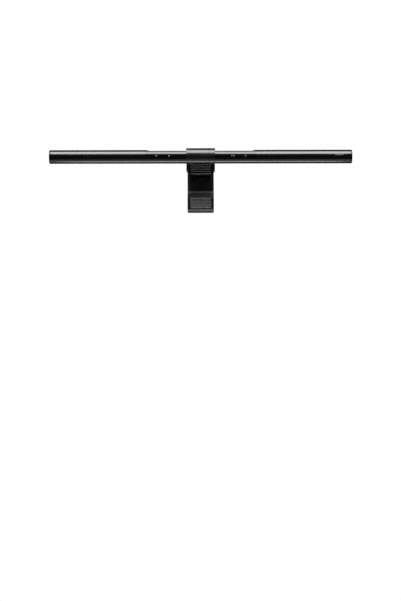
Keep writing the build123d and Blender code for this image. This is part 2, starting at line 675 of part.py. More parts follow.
def torsion_spring():
    """Closes the rear arm: one leg rests on the seat plate's tab, the other pushes on the arm's web."""
    turns = SPRING_TURNS + (90 - SPRING_REAR_ANGLE) / 360
    height = turns * SPRING_PITCH
    start = Plane(origin=(-height / 2, *PIVOT), x_dir=(0, 0, 1), z_dir=(1, 0, 0))
    coil = start * Helix(SPRING_PITCH, height, SPRING_RADIUS, lefthand=True)
    front_leg = Line((coil @ 0) - (coil % 0) * SPRING_FRONT_LEG, coil @ 0)
    rear_leg = Line(coil @ 1, (coil @ 1) + (coil % 1) * SPRING_REAR_LEG)
    path = Wire([front_leg, coil, rear_leg])
    return sweep(Plane(origin=path @ 0, z_dir=path % 0) * Circle(SPRING_WIRE), path=path, is_frenet=True)


# ---------------------------------------------------------------- rear arm
def arm_outline():
    """Side outline of the arm's housing, with a toe that reaches forward to the screen."""
    toe = PAD_FACE + PAD_THICKNESS
    corners = {
        (ARM_FRONT + 0.5, ARM_TOP): 2.0,
        (ARM_BACK - 14.0, ARM_TOP): 10.0,
        (ARM_BACK, ARM_TOP - 14.5): 14.0,
        (ARM_BACK, ARM_BOTTOM + 8.8): 8.0,
        (ARM_BACK - 8.5, ARM_BOTTOM): 6.0,
        (toe + 4.0, ARM_BOTTOM): 3.0,
        (toe, ARM_BOTTOM + 4.0): 2.0,
        (toe, PAD_Z[1] + 1.5): 2.0,
        (ARM_FRONT, PAD_Z[1] + 10.0): 6.0,
    }
    return rounded(outline(*corners), corners)


def arm_casing():
    """The whole housing before it is split, and the space inside it."""
    section = arm_outline()
    solid = along_x(section, -ARM_HALF, ARM_HALF)
    solid = fillet(solid.edges().group_by(Axis.X)[0] + solid.edges().group_by(Axis.X)[-1], ARM_ROUND)
    inside_half = ARM_HALF - ARM_WALL
    inside = along_x(offset(section, amount=-ARM_WALL), -inside_half, inside_half)
    return solid, inside


def neck_room():
    """Opening in the top of the housing for the bracket's neck."""
    half = LUG[1] + 0.4
    return block((-half, half), (ARM_FRONT - 1, SPINE[1] + 0.5), (-9.0, ARM_TOP + 1))


SHELL_SCREW_LENGTH = ARM_BACK - SHELL_SCREW_HEAD - ARM_PARTING + SHELL_SCREW_REACH


def shell_screw_frames():
    x, z = SHELL_SCREW
    return [Location((side * x, ARM_BACK - SHELL_SCREW_HEAD, z), (-90, 0, 0)) for side in (-1, 1)]


def screw_bosses(start, end):
    x, z = SHELL_SCREW
    return [Pos(side * x, 0, z) * along_y(Circle(SHELL_SCREW_BOSS), start, end) for side in (-1, 1)]


def arm_front_shell():
    """Front half of the housing, with the toe that carries the rear pad."""
    solid, inside = arm_casing()
    shell = (solid - inside) & block((-30, 30), (0, ARM_PARTING), (-80, 20))
    toe_wall = PAD_FACE + PAD_THICKNESS + ARM_WALL / 2
    holes = screw_holes(shell_screw_frames(), SCREW_RADIUS, SHELL_SCREW_LENGTH)
    return shell + screw_bosses(toe_wall, ARM_PARTING) - holes - neck_room()


def arm_rear_shell():
    """Rear half of the housing, with a tongue that hooks behind the front shell's top wall."""
    solid, inside = arm_casing()
    shell = (solid - inside) & block((-30, 30), (ARM_PARTING, 80), (-80, 20))
    bosses = [boss & solid for boss in screw_bosses(ARM_PARTING, ARM_BACK - 1)]
    ceiling = ARM_TOP - ARM_WALL
    low = ceiling - TONGUE_THICKNESS
    width = (-TONGUE_HALF, TONGUE_HALF)
    tongue = block(width, (ARM_PARTING - TONGUE_REACH, ARM_PARTING + TONGUE_REACH), (low, ceiling - SEAM))
    root = block(width, (ARM_PARTING, ARM_PARTING + TONGUE_REACH), (low, ceiling + 0.5))
    holes = screw_holes(shell_screw_frames(), SCREW_RADIUS, SHELL_SCREW_LENGTH)
    wells = [frame * (Pos(0, 0, 5) * Cylinder(SHELL_SCREW_BOSS - 0.6, 10)) for frame in shell_screw_frames()]
    return shell + bosses + tongue + root - holes - wells


def shell_screws():
    return screws(shell_screw_frames(), SCREW_RADIUS, SHELL_SCREW_LENGTH - 0.5)


def weight_screw_frames():
    return [Location((0, SPINE[0], z), (90, 0, 0)) for z in WEIGHT_SCREW_Z]


def counterweight():
    """Steel block that balances the lamp and holds the arm against the screen."""
    section = offset(arm_outline(), amount=-ARM_WALL - 0.5)
    room = block((-WEIGHT_HALF, WEIGHT_HALF), (SPINE[1], ARM_BACK), WEIGHT_Z)
    body = along_x(section, -WEIGHT_HALF, WEIGHT_HALF) & room
    return body - screw_holes(weight_screw_frames(), WEIGHT_SCREW_RADIUS, WEIGHT_SCREW_LENGTH)


def weight_screws():
    return screws(weight_screw_frames(), WEIGHT_SCREW_RADIUS, WEIGHT_SCREW_LENGTH)


def spring_web():
    """Bar between the lugs, under the spring's rear leg."""
    angle = SPRING_REAR_ANGLE
    reach = SPRING_RADIUS - SPRING_WIRE - 0.03
    near, far = WEB_NEAR, SPRING_REAR_LEG
    under = reach - WEB_THICKNESS
    corners = []
    for distance, depth in ((near, reach), (far, reach), (far, under), (near, under)):
        foot = polar(depth, angle, PIVOT)
        along = polar(distance, angle - 90)
        corners.append((foot[0] + along[0], foot[1] + along[1]))
    return along_x(outline(*corners), -LUG[0] - 0.5, LUG[0] + 0.5)


def arm_bracket():
    """Cast arm: two lugs on the hinge pin, a neck that steps over the screen, and a spine for the weight."""
    top = PIVOT_Z + LUG_RADIUS
    bottom = PIVOT_Z - LUG_RADIUS
    corners = {
        (SCREEN_FRONT + 33.0, top - 1.4): 5.0,
        (SPINE[1], 5.0): 4.0,
        (SCREEN_FRONT + 31.0, bottom + 0.3): 4.0,
        (SPINE[0], -2.5): 2.0,
    }
    upper_bend, spine_top, lower_bend, spine_front = corners
    neck = outline(
        (PIVOT_Y, top),
        upper_bend,
        spine_top,
        (SPINE[1], -8.0),
        (SPINE[0], -8.0),
        spine_front,
        lower_bend,
        (PIVOT_Y, bottom),
    )
    neck = rounded(neck, corners) + disc(LUG_RADIUS, PIVOT)
    lug = along_x(neck, *LUG) - along_x(disc(BUSH_OUTER, PIVOT), LUG[0] - 1, LUG[1] + 1)
    spine = block((-SPINE_HALF, SPINE_HALF), SPINE, (WEIGHT_Z[0], -6.0))
    spine = fillet(spine.edges().filter_by(Axis.Y), 2.0)
    bracket = lug + mirrored(lug) + spine + spring_web()
    return bracket - screw_holes(weight_screw_frames(), WEIGHT_SCREW_RADIUS, WEIGHT_SCREW_LENGTH)


def arm_bushes():
    """Plain bushes in the lugs, which turn on the pin."""
    bush = along_x(disc(BUSH_OUTER, PIVOT) - disc(PIN_RADIUS + FIT, PIVOT), *LUG)
    return both_sides(bush)


def rear_pad():
    """Rubber pad on the toe, flat where it presses on the back of the screen."""
    face = Pos(0, sum(PAD_Z) / 2) * RectangleRounded(2 * PAD_HALF, PAD_Z[1] - PAD_Z[0], 2.0)
    pad = along_y(face, PAD_FACE, PAD_FACE + PAD_THICKNESS)
    return chamfer(pad.edges().group_by(Axis.Y)[0], 0.4)


# ---------------------------------------------------------------- write the sub-parts
LAMP_PARTS = {
    "lamp_tube": lamp_tube(),
    "end_cap_right": end_cap(),
    "end_cap_left": mirrored(end_cap()),
    "touch_cover": touch_cover(),
    "sensor_lens": sensor_lens(),
    "light_sensor": light_sensor(),
    "touch_flex": touch_flex(),
    "touch_pads": touch_pads(),
    "diffuser_lens": diffuser_lens(),
    "inner_rail": inner_rail(),
    "control_board": control_board(),
    "thermal_pad": thermal_pad(),
    "board_screws": board_screws(),
    "control_chips": control_chips(),
    "power_inductors": power_inductors(),
    "board_capacitors": board_capacitors(),
    "led_board": led_board(),
    "warm_leds": led_row(0),
    "cool_leds": led_row(1),
    "light_reflector": light_reflector(),
    "led_leads": led_leads(),
    "usb_c_shell": usb_c_shell(),
    "usb_c_tongue": usb_c_tongue(),
    "port_bezel": port_bezel(),
}

CLIP_PARTS = {
    "collar_shell": collar_shell(),
    "collar_liner": collar_liner(),
    "cheek_right": cheek(1),
    "cheek_left": cheek(-1),
    "side_cover_right": side_cover(),
    "side_cover_left": mirrored(side_cover()),
    "collar_screws": collar_screws(),
    "seat_plate": seat_plate(),
    "seat_screws": seat_screws(),
    "seat_pad": seat_pad(),
    "front_lip_plate": front_lip_plate(),
    "lip_screws": lip_screws(),
    "front_lip_pad": front_lip_pad(),
    "hinge_pin": hinge_pin(),
    "spring_sleeve": spring_sleeve(),
    "torsion_spring": torsion_spring(),
}

ARM_PARTS = {
    "arm_bracket": arm_bracket(),
    "arm_bushes": arm_bushes(),
    "counterweight": counterweight(),
    "weight_screws": weight_screws(),
    "arm_front_shell": arm_front_shell(),
    "arm_rear_shell": arm_rear_shell(),
    "shell_screws": shell_screws(),
    "rear_pad": rear_pad(),
}

os.makedirs("parts", exist_ok=True)
for name, shape in LAMP_PARTS.items():
    export_step(on_lamp(shape), f"parts/{name}.step")
for name, shape in {**CLIP_PARTS, **ARM_PARTS}.items():
    export_step(shape, f"parts/{name}.step")
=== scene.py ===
"""Looks of the monitor light bar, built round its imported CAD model.

Lengths are in metres. +X runs along the bar to the user's right, -Y points to the user, +Z up.
"""

import json
import math

import bmesh
import bpy
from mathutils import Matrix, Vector


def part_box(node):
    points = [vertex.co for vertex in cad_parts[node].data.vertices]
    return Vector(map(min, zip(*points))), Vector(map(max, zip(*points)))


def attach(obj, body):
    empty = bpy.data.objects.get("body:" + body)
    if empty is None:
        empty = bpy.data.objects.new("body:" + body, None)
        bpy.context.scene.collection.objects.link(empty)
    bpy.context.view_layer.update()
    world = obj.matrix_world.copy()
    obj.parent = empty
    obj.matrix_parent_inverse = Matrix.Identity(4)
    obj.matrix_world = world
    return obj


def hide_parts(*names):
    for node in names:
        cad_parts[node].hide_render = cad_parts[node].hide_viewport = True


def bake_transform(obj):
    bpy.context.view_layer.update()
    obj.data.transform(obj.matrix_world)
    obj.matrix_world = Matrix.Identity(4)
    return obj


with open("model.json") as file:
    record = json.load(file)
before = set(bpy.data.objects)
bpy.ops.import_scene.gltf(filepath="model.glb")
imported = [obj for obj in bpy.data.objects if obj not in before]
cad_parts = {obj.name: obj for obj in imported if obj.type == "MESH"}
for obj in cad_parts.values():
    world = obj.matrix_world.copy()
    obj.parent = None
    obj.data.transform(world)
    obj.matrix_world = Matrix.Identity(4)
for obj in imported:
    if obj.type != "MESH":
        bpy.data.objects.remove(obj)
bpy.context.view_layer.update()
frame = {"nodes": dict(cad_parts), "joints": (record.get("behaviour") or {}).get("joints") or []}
NODES = frame["nodes"]
JOINTS = {joint["name"]: joint for joint in frame["joints"]}

MM = 0.001
RIB_END = 15.4 * MM  # of the front lip's ribs, on each side of the middle

# ---------------------------------------------------------------- places, all from the frame
LAMP_AXIS = Vector(JOINTS["lamp_tilt"]["pos_m"])
TUBE_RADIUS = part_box("lamp_tube")[1].z - LAMP_AXIS.z
HINGE_AXIS = Vector(JOINTS["rear_arm_hinge"]["pos_m"])
BAR_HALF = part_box("end_cap_right")[1].x


# ---------------------------------------------------------------- materials
class Finish:
    """A material with one Principled shader, and short calls that add texture to it.

    Sizes are in metres. Textures read object coordinates, so they move with their piece.
    """

    def __init__(self, name, colour, roughness, **sockets):
        self.material = bpy.data.materials.new(name + "_finish")
        self.material.use_nodes = True
        self.nodes = self.material.node_tree.nodes
        self.links = self.material.node_tree.links
        self.shader = self.nodes["Principled BSDF"]
        self.shader.inputs["Base Color"].default_value = (*colour, 1.0)
        self.shader.inputs["Roughness"].default_value = roughness
        for socket, value in sockets.items():
            self.shader.inputs[socket.replace("_", " ")].default_value = value
        self.coordinates = self.nodes.new("ShaderNodeTexCoord").outputs["Object"]
        self.height = None

    def node(self, kind, inputs=None, **settings):
        made = self.nodes.new(kind)
        for key, value in settings.items():
            setattr(made, key, value)
        for socket, value in (inputs or {}).items():
            if isinstance(value, bpy.types.NodeSocket):
                self.links.new(value, made.inputs[socket])
            else:
                made.inputs[socket].default_value = value
        return made

    def stretched(self, stretch):
        """Object coordinates divided by a length for each axis."""
        scale = [1 / length for length in stretch]
        return self.node("ShaderNodeMapping", {"Vector": self.coordinates, "Scale": scale}).outputs["Vector"]

    def noise(self, size, detail=2.0):
        """Soft noise whose blotches are about that size: one length, or one for each axis."""
        stretch = size if isinstance(size, tuple) else (size, size, size)
        inputs = {"Vector": self.stretched(stretch), "Scale": 1.0, "Detail": detail}
        return self.node("ShaderNodeTexNoise", inputs).outputs["Fac"]

    def cells(self, size):
        """Distance from the nearest of random points that are about that far apart, in units of the size."""
        inputs = {"Vector": self.stretched((size, size, size)), "Scale": 1.0}
        return self.node("ShaderNodeTexVoronoi", inputs).outputs["Distance"]

    def openness(self, reach):
        """1 on open surfaces, less in grooves and corners narrower than the reach."""
        return self.node("ShaderNodeAmbientOcclusion", {"Distance": reach}, samples=8).outputs["AO"]

    def spread(self, factor, low, high, start=0.3, end=0.7):
        """Map a factor from its start and end to a low and a high value."""
        inputs = {"Value": factor, "From Min": start, "From Max": end, "To Min": low, "To Max": high}
        return self.node("ShaderNodeMapRange", inputs).outputs["Result"]

    def roughness(self, factor, low, high):
        self.links.new(self.spread(factor, low, high), self.shader.inputs["Roughness"])

    def colours(self, factor, first, second, start=0.3, end=0.7):
        """Vary the colour between two, by a factor."""
        ramp = self.node("ShaderNodeValToRGB", {"Fac": self.spread(factor, 0.0, 1.0, start, end)})
        ramp.color_ramp.elements[0].color = (*first, 1.0)
        ramp.color_ramp.elements[1].color = (*second, 1.0)
        self.links.new(ramp.outputs["Color"], self.shader.inputs["Base Color"])

    def bump(self, factor, depth):
        """Raise the surface by a depth where the factor is 1. Calls add up."""
        inputs = {"Height": factor, "Distance": depth, "Strength": 1.0}
        made = self.node("ShaderNodeBump", inputs)
        if self.height is not None:
            self.links.new(self.height, made.inputs["Normal"])
        self.height = made.outputs["Normal"]
        self.links.new(self.height, self.shader.inputs["Normal"])


def grey(value, warmth=0.0):
    return (value * (1 + warmth), value, value * (1 - warmth))


def moulded(name, shade, roughness, grain, depth, **sockets):
    """Moulded black plastic: a fine eroded grain, uneven gloss and a trace of colour drift."""
    finish = Finish(name, grey(shade), roughness, **sockets)
    texture = finish.noise(grain, 3.0)
    drift = finish.noise(14 * MM, 3.0)
    finish.colours(drift, grey(shade * 0.8, -0.03), grey(shade * 1.35, 0.02))
    finish.roughness(drift, roughness * 0.88, roughness * 1.15)
    finish.bump(texture, depth)
    return finish


def metal(name, colour, roughness, streak, depth):
    """Bare or plated metal with fine tool marks, whose size along X, Y and Z is the streak."""
    finish = Finish(name, colour, roughness, Metallic=1.0)
    marks = finish.noise(streak, 3.0)
    cloud = finish.noise(5 * MM, 2.0)
    darker = tuple(value * 0.72 for value in colour)
    finish.colours(cloud, darker, colour)
    finish.roughness(marks, roughness * 0.75, roughness * 1.35)
    finish.bump(marks, depth)
    return finish


def anodised_tube():
    """Bead-blasted and anodised aluminium, with the faint lines of the extrusion along it."""
    finish = Finish("anodised_tube", grey(0.002), 0.22, Specular_IOR_Level=0.85)
    lines = finish.noise((90 * MM, 0.35 * MM, 0.35 * MM), 2.0)
    grain = finish.noise(0.22 * MM, 2.0)
    cloud = finish.noise((40 * MM, 8 * MM, 8 * MM), 3.0)
    finish.colours(cloud, (0.0017, 0.0017, 0.0019), (0.0027, 0.0027, 0.0027))
    finish.roughness(cloud, 0.17, 0.21)
    finish.bump(grain, 0.0008 * MM)
    finish.bump(lines, 0.0006 * MM)
    return finish


def gloss_cover():
    """Polished black cover with a hard coat, faint wipe marks and a little dust."""
    finish = Finish("gloss_cover", grey(0.003), 0.08, Specular_IOR_Level=0.68)
    wiped = finish.noise((18 * MM, 3 * MM, 3 * MM), 4.0)
    dust = finish.cells(2.2 * MM)
    finish.roughness(wiped, 0.05, 0.13)
    finish.colours(dust, (0.012, 0.012, 0.013), (0.0028, 0.0028, 0.003), 0.0, 0.05)
    return finish


def frosted_diffuser():
    """Opal plastic with fine lengthwise prisms on its face."""
    finish = Finish("diffuser_plastic", (0.74, 0.75, 0.74), 0.42, Transmission_Weight=0.3, IOR=1.49)
    cloud = finish.noise(9 * MM, 3.0)
    finish.colours(cloud, (0.7, 0.715, 0.71), (0.78, 0.78, 0.765))
    finish.bump(finish.noise(0.5 * MM, 2.0), 0.01 * MM)
    finish.bump(finish.noise((60 * MM, 0.5 * MM, 0.5 * MM), 1.0), 0.02 * MM)
    return finish


def rubber(name, shade, low, high, specular):
    """Soft rubber: finely pitted, with a roughness that drifts from low to high."""
    finish = Finish(name, grey(shade), low, Specular_IOR_Level=specular)
    finish.roughness(finish.noise(4 * MM, 4.0), low, high)
    finish.bump(finish.noise(0.18 * MM, 3.0), 0.006 * MM)
    return finish


def pad_rubber(painted_groove_shade, crest_shade):
    """The rubber of the pads: painted shade darkens its grooves and corners, where ambient occlusion is low,
    and open faces keep the crest grey.
    """
    finish = rubber("black_rubber", crest_shade, 0.31, 0.39, 0.8)
    painted_shade_mask = finish.openness(2.0 * MM)
    # painted shade: closed-in grooves and corners take the dark groove colour
    finish.colours(painted_shade_mask, grey(painted_groove_shade), grey(crest_shade, 0.01), 0.9, 1.0)
    return finish


def lip_rubber(painted_groove_shade, crest_shade):
    """The rubber of the front lip: matt black, with painted light and shade on its ribs: the crests are
    painted pale as if lit, and the grooves behind them dark as painted shade.
    """
    finish = rubber("lip_rubber", painted_groove_shade, 0.36, 0.46, 0.5)
    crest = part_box("front_lip_pad")[0].y
    place = finish.node("ShaderNodeSeparateXYZ", {"Vector": finish.coordinates}).outputs
    side = finish.node("ShaderNodeMath", {0: place["X"]}, operation="ABSOLUTE").outputs["Value"]
    # the plain sides beyond the ribs take the dark groove colour too
    border = finish.spread(side, 0.0, 1.0, RIB_END - 0.2 * MM, RIB_END + 0.2 * MM)
    # painted shade: dark from just behind the front of the ribs
    groove = finish.spread(place["Y"], 0.0, 1.0, crest + 0.22 * MM, crest + 0.42 * MM)
    dark = finish.node("ShaderNodeMath", {0: border, 1: groove}, operation="MAXIMUM").outputs["Value"]
    # painted highlight on the crests, painted shade in the grooves and on the sides
    finish.colours(dark, grey(crest_shade, 0.01), grey(painted_groove_shade), 0.0, 1.0)
    return finish


def circuit_board(name, mask, track, pitch):
    """Solder mask over copper tracks, which show as raised paler lines."""
    finish = Finish(name, mask, 0.32, Specular_IOR_Level=0.6)
    place = finish.stretched((pitch, pitch, pitch))
    inputs = {"Vector": place, "Scale": 1.0, "Mortar Size": 0.09, "Brick Width": 1.7}
    bricks = finish.node("ShaderNodeTexBrick", inputs).outputs["Fac"]
    finish.colours(bricks, mask, track, 0.2, 0.8)
    finish.bump(bricks, 0.03 * MM)
    finish.roughness(finish.noise(3 * MM, 3.0), 0.26, 0.38)
    return finish


def phosphor(name, colour):
    """Grainy phosphor under clear resin."""
    finish = Finish(name, colour, 0.35, Subsurface_Weight=0.15)
    finish.shader.inputs["Subsurface Radius"].default_value = (0.4 * MM, 0.3 * MM, 0.15 * MM)
    grains = finish.noise(0.12 * MM, 3.0)
    finish.colours(grains, tuple(value * 0.82 for value in colour), colour)
    finish.bump(grains, 0.01 * MM)
    return finish


def plain(name, first, second, roughness, size, depth, **sockets):
    """Two close shades in soft blotches, with uneven gloss and a fine relief."""
    finish = Finish(name, first, roughness, **sockets)
    blotches = finish.noise(size, 3.0)
    finish.colours(blotches, first, second)
    finish.roughness(blotches, roughness * 0.85, roughness * 1.15)
    finish.bump(finish.noise(size / 8, 2.0), depth)
    return finish


# sizes of tool marks along X, Y and Z
DRAWN = (40 * MM, 0.3 * MM, 0.3 * MM)
ROLLED = (8 * MM, 0.4 * MM, 0.4 * MM)
ETCHED = (3 * MM, 0.5 * MM, 0.5 * MM)
EVEN = (0.5 * MM, 0.5 * MM, 0.5 * MM)
COILED = (0.3 * MM, 2 * MM, 2 * MM)
STAMPED = (0.2 * MM, 3 * MM, 0.2 * MM)
UPRIGHT = (0.3 * MM, 0.3 * MM, 6 * MM)
THERMAL_GREY = (0.3, 0.33, 0.38)
THERMAL_BLUE = (0.36, 0.39, 0.44)

FINISHES = {
    "anodised_tube": anodised_tube(),
    "gloss_cover": gloss_cover(),
    "cap_plastic": moulded("cap_plastic", 0.003, 0.2, 0.5 * MM, 0.002 * MM, Specular_IOR_Level=0.4),
    "collar_plastic": moulded("collar_plastic", 0.005, 0.27, 0.28 * MM, 0.004 * MM, Specular_IOR_Level=0.85),
    "housing_plastic": moulded("housing_plastic", 0.008, 0.42, 0.4 * MM, 0.03 * MM),
    "liner_plastic": moulded("liner_plastic", 0.018, 0.4, 0.6 * MM, 0.004 * MM),
    # black_rubber: its grooves and corners are darkened with painted shade
    "black_rubber": pad_rubber(0.003, 0.15),
    "lens_plastic": plain("lens_plastic", (0.5, 0.51, 0.52), (0.6, 0.61, 0.62), 0.2, 0.8 * MM, 0.002 * MM),
    "diffuser_plastic": frosted_diffuser(),
    "reflector_film": plain("reflector_film", (0.86, 0.86, 0.85), (0.9, 0.9, 0.89), 0.5, 3 * MM, 0.01 * MM),
    "bare_aluminium": metal("bare_aluminium", (0.72, 0.73, 0.74), 0.34, DRAWN, 0.006 * MM),
    "cast_metal": moulded("cast_metal", 0.01, 0.42, 0.7 * MM, 0.03 * MM, Specular_IOR_Level=0.35),
    "plated_steel": metal("plated_steel", (0.62, 0.62, 0.6), 0.28, ROLLED, 0.008 * MM),
    "black_steel": metal("black_steel", (0.055, 0.055, 0.06), 0.4, EVEN, 0.01 * MM),
    "spring_steel": metal("spring_steel", (0.36, 0.35, 0.34), 0.26, COILED, 0.006 * MM),
    "circuit_board": circuit_board("circuit_board", (0.012, 0.09, 0.035), (0.03, 0.16, 0.06), 0.9 * MM),
    "white_board": circuit_board("white_board", (0.8, 0.8, 0.78), (0.68, 0.66, 0.6), 1.6 * MM),
    "flex_film": plain("flex_film", (0.42, 0.17, 0.03), (0.55, 0.24, 0.05), 0.3, 2.5 * MM, 0.01 * MM),
    "copper": metal("copper", (0.86, 0.5, 0.3), 0.3, ETCHED, 0.006 * MM),
    "chip_plastic": moulded("chip_plastic", 0.012, 0.45, 0.2 * MM, 0.02 * MM),
    "capacitor_can": metal("capacitor_can", (0.7, 0.7, 0.72), 0.25, UPRIGHT, 0.006 * MM),
    "warm_phosphor": phosphor("warm_phosphor", (0.85, 0.42, 0.06)),
    "cool_phosphor": phosphor("cool_phosphor", (0.88, 0.72, 0.16)),
    "thermal_rubber": plain("thermal_rubber", THERMAL_GREY, THERMAL_BLUE, 0.7, 1.2 * MM, 0.03 * MM),
    "lead_wire": plain("lead_wire", (0.5, 0.03, 0.02), (0.58, 0.04, 0.03), 0.4, 1.5 * MM, 0.01 * MM),
}

PRINT = plain("printed_mark", (0.2, 0.2, 0.205), (0.27, 0.27, 0.275), 0.55, 0.4 * MM, 0.004 * MM)
# the lip's rib crests are painted pale as if lit, and its grooves dark as painted shade
LIP_RUBBER = lip_rubber(0.003, 0.33)
LED_BODY = plain("led_body", (0.82, 0.81, 0.78), (0.88, 0.87, 0.84), 0.35, 0.8 * MM, 0.004 * MM)
GOLD = metal("contact_gold", (0.95, 0.72, 0.36), 0.22, STAMPED, 0.003 * MM)


def finish_cad_nodes():
    """Give each CAD node the finish of its material slot, which its packed material is named after."""
    for node in NODES.values():
        slot = node.data.materials[0].name
        node.data.materials[0] = FINISHES[slot].material
    for name in ("warm_leds", "cool_leds"):
        NODES[name].data.materials[0] = LED_BODY.material
    NODES["front_lip_pad"].data.materials[0] = LIP_RUBBER.material


# ---------------------------------------------------------------- mesh helpers
DOME_ANGLES = (30, 60, 80)  # degrees, of the rings that round a wire's end


def add_piece(name, shape, finish, body, replaces=()):
    """Turn a bmesh into a smooth-shaded piece that rides on a body."""
    bmesh.ops.recalc_face_normals(shape, faces=shape.faces)
    mesh = bpy.data.meshes.new(name)
    shape.to_mesh(mesh)
    shape.free()
    mesh.shade_smooth()
    mesh.materials.append(finish.material)
    piece = bpy.data.objects.new(name, mesh)
    bpy.context.scene.collection.objects.link(piece)
    if replaces:
        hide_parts(*replaces)
    if body:
        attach(piece, body)
    return piece


def skin(shape, rings, closed=False):
    """Join rings of equal length with quads, and close the two ends unless the tube runs in a circle."""
    made = [[shape.verts.new(point) for point in ring] for ring in rings]
    pairs = list(zip(made, made[1:]))
    if closed:
        pairs.append((made[-1], made[0]))
    for first, second in pairs:
        for index in range(len(first)):
            after = (index + 1) % len(first)
            shape.faces.new((first[index], first[after], second[after], second[index]))
    if not closed:
        shape.faces.new(made[0][::-1])
        shape.faces.new(made[-1])


def tube_rings(points, radius, sides):
    """Rings of a round wire along a line of points, with domed ends."""
    rings = []
    normal = (points[1] - points[0]).orthogonal().normalized()
    for index, point in enumerate(points):
        before = points[max(index - 1, 0)]
        after = points[min(index + 1, len(points) - 1)]
        along = (after - before).normalized()
        normal = (normal - along * normal.dot(along)).normalized()
        across = along.cross(normal)
        turns = [2 * math.pi * side / sides for side in range(sides)]
        offsets = [normal * math.cos(turn) + across * math.sin(turn) for turn in turns]
        rings.append((point, along, offsets))
    made = [[point + offset * radius for offset in offsets] for point, along, offsets in rings]
    for (point, along, offsets), sign in ((rings[0], -1), (rings[-1], 1)):
        for turn in map(math.radians, DOME_ANGLES):
            centre = point + along * (sign * radius * math.sin(turn))
            ring = [centre + offset * (radius * math.cos(turn)) for offset in offsets]
            if sign < 0:
                made.insert(0, ring)
            else:
                made.append(ring)
    return made


def rounded_box(shape, centre, size, edge):
    """Add a box with rounded edges to a bmesh."""
    made = bmesh.ops.create_cube(shape, size=1.0)["verts"]
    for vertex in made:
        vertex.co = Vector(centre) + Vector(tuple(vertex.co[axis] * size[axis] for axis in range(3)))
    edges = list({joined for vertex in made for joined in vertex.link_edges})
    bmesh.ops.bevel(shape, geom=edges, offset=edge, segments=2, profile=0.5, affect="EDGES")


# ---------------------------------------------------------------- printed marks on the cover and the tube
PRINT_THICKNESS = 0.02 * MM
PRINT_LIFT = 0.002 * MM
STROKE = 0.34 * MM
MARK_HEIGHT = 0.7 * MM  # of the touch marks above the foremost line of the tube
TOUCH_PAD_HALF = 4.5 * MM
COLOUR_MARK_X = 47.7 * MM
END_MARK_HEIGHT = 1.8 * MM
END_MARK_INSET = 19.5 * MM  # from the end of the bar
END_MARK_HALF = 6.5 * MM
END_MARK_STROKE = 0.8 * MM


def on_tube(along, height, lift):
    """A point at X, a height round the tube from its foremost line, and a lift from its surface."""
    angle = height / TUBE_RADIUS
    radius = TUBE_RADIUS + lift
    return Vector((along, LAMP_AXIS.y - radius * math.cos(angle), LAMP_AXIS.z + radius * math.sin(angle)))


def printed_strip(shape, points, width, closed=False):
    """A flat printed line along points given as (X, height) on the tube."""
    rings = []
    count = len(points)
    for index, point in enumerate(points):
        before = points[index - 1] if closed or index else point
        after = points[(index + 1) % count] if closed or index < count - 1 else point
        step = (after - before).normalized()
        side = Vector((-step.y, step.x)) * (width / 2)
        low, high = point - side, point + side
        corners = ((low, 0), (high, 0), (high, PRINT_THICKNESS), (low, PRINT_THICKNESS))
        rings.append([on_tube(place.x, place.y, lift + PRINT_LIFT) for place, lift in corners])
    skin(shape, rings, closed)


def arc_points(centre, radius, start, end, count):
    """Points on an arc, angles in degrees."""
    turns = [math.radians(start + (end - start) * index / (count - 1)) for index in range(count)]
    return [centre + Vector((math.cos(turn), math.sin(turn))) * radius for turn in turns]


def circle_points(centre, radius, count=28):
    return arc_points(centre, radius, 0, 360 * (count - 1) / count, count)


def brightness_mark(shape, centre):
    """A small sun: a ring and eight rays."""
    printed_strip(shape, circle_points(centre, 0.62 * MM), STROKE, closed=True)
    for index in range(8):
        ray = Vector((math.cos(index * math.pi / 4), math.sin(index * math.pi / 4)))
        printed_strip(shape, [centre + ray * 1.0 * MM, centre + ray * 1.5 * MM], STROKE)


def colour_mark(shape, centre):
    """Two small lamps side by side, one open and one filled, for cool and warm light."""
    shift = Vector((1.55 * MM, 0))
    for place in (centre - shift, centre + shift):
        printed_strip(shape, circle_points(place, 0.95 * MM), STROKE, closed=True)
    fill = Vector((0.5 * MM, 0))
    printed_strip(shape, [centre + shift - fill, centre + shift + fill], 0.7 * MM)


def power_mark(shape, centre):
    """A broken ring with an upright bar."""
    printed_strip(shape, arc_points(centre, 1.2 * MM, 125, 415, 26), STROKE)
    printed_strip(shape, [centre + Vector((0, 0.3 * MM)), centre + Vector((0, 1.55 * MM))], STROKE)


def end_mark(shape, centre):
    """A plain dash in place of lettering."""
    places = (-END_MARK_HALF, 0, END_MARK_HALF)
    printed_strip(shape, [centre + Vector((place, 0)) for place in places], END_MARK_STROKE)


def add_marks():
    """A mark over each touch pad, on the cover, and a dash near the right end of the tube."""
    low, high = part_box("touch_pads")
    marks = (
        ("mark_brightness", brightness_mark, low.x + TOUCH_PAD_HALF, MARK_HEIGHT, "gloss_cover"),
        ("mark_colour", colour_mark, COLOUR_MARK_X, MARK_HEIGHT, "gloss_cover"),
        ("mark_power", power_mark, high.x - TOUCH_PAD_HALF, MARK_HEIGHT, "gloss_cover"),
        ("mark_end", end_mark, BAR_HALF - END_MARK_INSET, END_MARK_HEIGHT, "anodised_tube"),
    )
    for name, draw, along, height, slot in marks:
        shape = bmesh.new()
        draw(shape, Vector((along, height)))
        add_piece(name, shape, PRINT, "lamp")


# ---------------------------------------------------------------- spring
SPRING_RADIUS = 3.5 * MM
SPRING_WIRE = 0.55 * MM
SPRING_TURNS = 8 + 55 / 360  # eight turns, and the angle between the two legs
SPRING_PITCH = 1.45 * MM
SPRING_FRONT_LEG = 12.0 * MM
SPRING_REAR_LEG = 13.0 * MM
STEPS_PER_TURN = 28
WIRE_SIDES = 12


